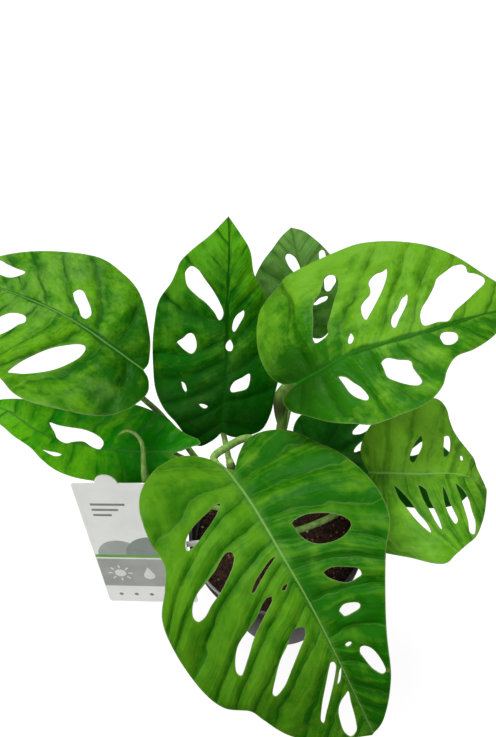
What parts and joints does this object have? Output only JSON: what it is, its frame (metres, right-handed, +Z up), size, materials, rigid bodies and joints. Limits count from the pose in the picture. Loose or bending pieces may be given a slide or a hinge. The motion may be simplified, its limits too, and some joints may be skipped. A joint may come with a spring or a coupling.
{
  "type": "potted monstera adansonii",
  "caption": "Young monstera adansonii with holed, waved leaves on curved stalks in a round nursery pot of soil, with a plain plant label on a stake.",
  "frame": {"origin": "centre of the pot's flat base, on the surface it stands on", "axes": "+Z up along the pot's axis, -Y towards the viewer and the largest drooping leaf, +X to the viewer's right"},
  "size_m": [0.3554, 0.2786, 0.2896],
  "materials": {
    "pot": "satin dark grey moulded plastic",
    "soil": "loose dark potting soil",
    "stem": "smooth fresh green stalk",
    "leaf": "satin green leaf with sunken side veins",
    "card": "printed off-white card",
    "stake": "white moulded plastic"
  },
  "bodies": {
    "root": {"pot": "pot", "soil": "soil", "stem_front": "stem", "stem_right": "stem", "stem_left": "stem", "stem_back": "stem", "shoot": "stem", "leaf_front": "leaf", "leaf_right": "leaf", "leaf_upper_right": "leaf", "leaf_top": "leaf", "leaf_left": "leaf", "leaf_low_left": "leaf", "leaf_back": "leaf", "leaf_inner": "leaf", "label_card": "card", "label_stake": "stake"}
  },
  "joints": []
}
